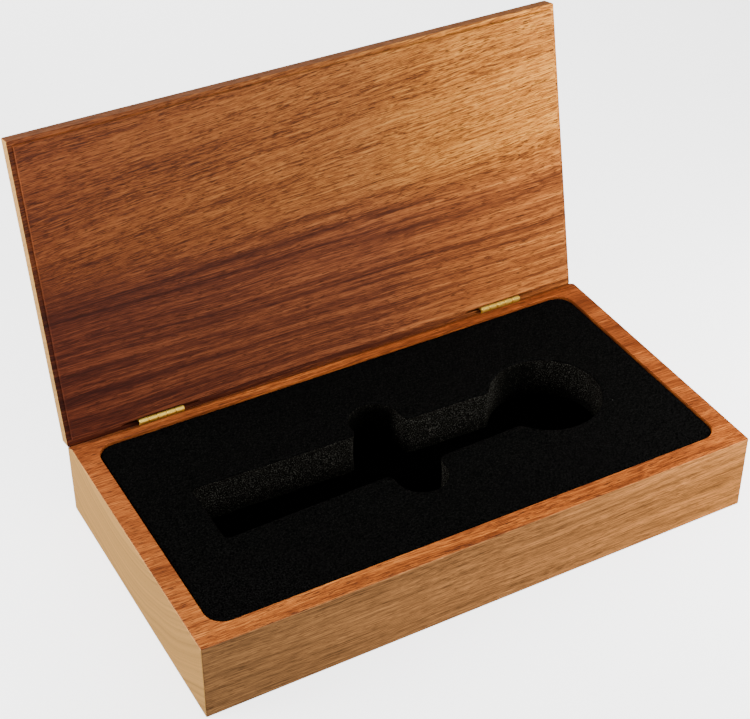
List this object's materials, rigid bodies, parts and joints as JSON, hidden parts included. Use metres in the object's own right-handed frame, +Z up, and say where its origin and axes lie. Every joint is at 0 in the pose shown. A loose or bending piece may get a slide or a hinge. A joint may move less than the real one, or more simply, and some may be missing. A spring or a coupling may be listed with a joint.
{
  "type": "hinged presentation box",
  "caption": "Shallow solid-timber presentation box with a hinged lid, lined with die-cut black foam shaped for a long tool with a round head.",
  "frame": {"origin": "middle of the underside of the base, on the surface the box stands on", "axes": "+X along the box's length to the right, +Y from the front edge to the hinge edge, +Z up out of the open box"},
  "size_m": [0.29, 0.1954, 0.1919],
  "materials": {
    "timber": "satin oiled reddish-brown hardwood",
    "foam": "matte black open-cell foam",
    "facing_cloth": "matte black felt facing",
    "hinge_brass": "polished pale brass"
  },
  "bodies": {
    "base": {"base_block": "timber", "insert_floor_pad": "foam", "insert_foam": "foam", "insert_facing": "facing_cloth", "hinge_left_base_leaf": "hinge_brass", "hinge_left_pin": "hinge_brass", "hinge_right_base_leaf": "hinge_brass", "hinge_right_pin": "hinge_brass"},
    "lid": {"lid_panel": "timber", "hinge_left_lid_leaf": "hinge_brass", "hinge_right_lid_leaf": "hinge_brass"}
  },
  "joints": [
    {"name": "lid_hinge", "type": "hinge", "parent": "base", "child": "lid", "pos_m": [0, 0.0757, 0.042], "axis": [1, 0, 0], "range_deg": [0, 102]}
  ]
}
